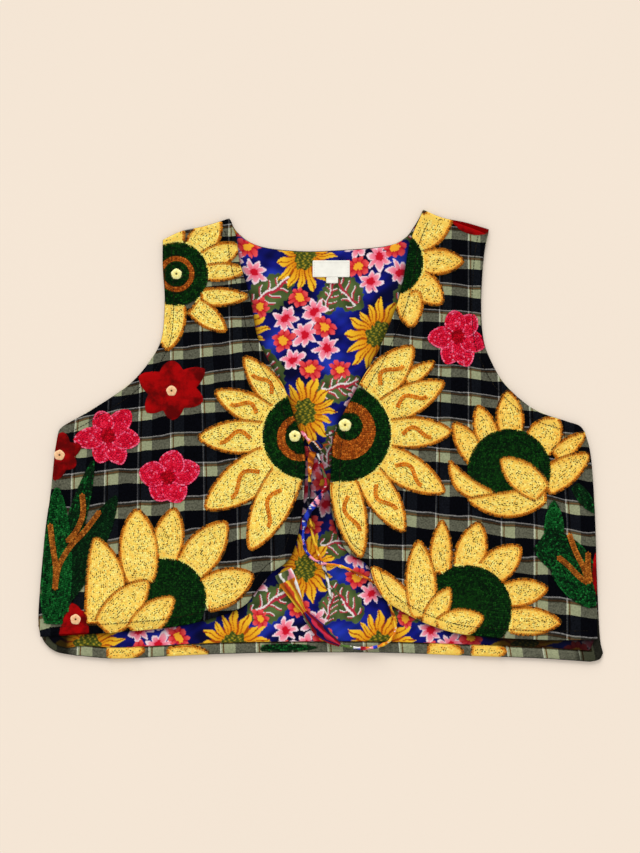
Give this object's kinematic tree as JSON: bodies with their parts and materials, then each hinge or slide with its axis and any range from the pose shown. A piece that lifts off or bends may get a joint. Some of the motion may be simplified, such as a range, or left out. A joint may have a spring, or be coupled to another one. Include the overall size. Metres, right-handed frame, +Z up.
{
  "type": "embroidered vest",
  "caption": "Cropped sleeveless vest of checked cotton with thick chain-stitch flowers, a printed lining and knotted front ties, laid flat with its front up.",
  "frame": {"origin": "centre of the bounding box at its underside, on the surface that the vest lies on", "axes": "+X across the vest, along its longest side; +Y towards its neck; +Z up, through its thickness"},
  "size_m": [0.5801, 0.4641, 0.0107],
  "materials": {
    "check_cloth": "matte woven cotton in a black, sage and grey check",
    "lining_print": "matte cotton printed with flowers on royal blue",
    "label_cloth": "plain woven white",
    "tie_cloth": "narrow strip of the printed cotton"
  },
  "bodies": {
    "root": {"back_panel": "check_cloth", "back_lining": "lining_print", "front_left": "check_cloth", "front_right": "check_cloth", "label": "label_cloth", "size_tab": "label_cloth", "tie_left_upper": "tie_cloth", "tie_right_upper": "tie_cloth", "tie_left_lower": "tie_cloth", "tie_right_lower": "tie_cloth", "tie_knot": "tie_cloth", "tie_end": "tie_cloth"}
  },
  "joints": []
}
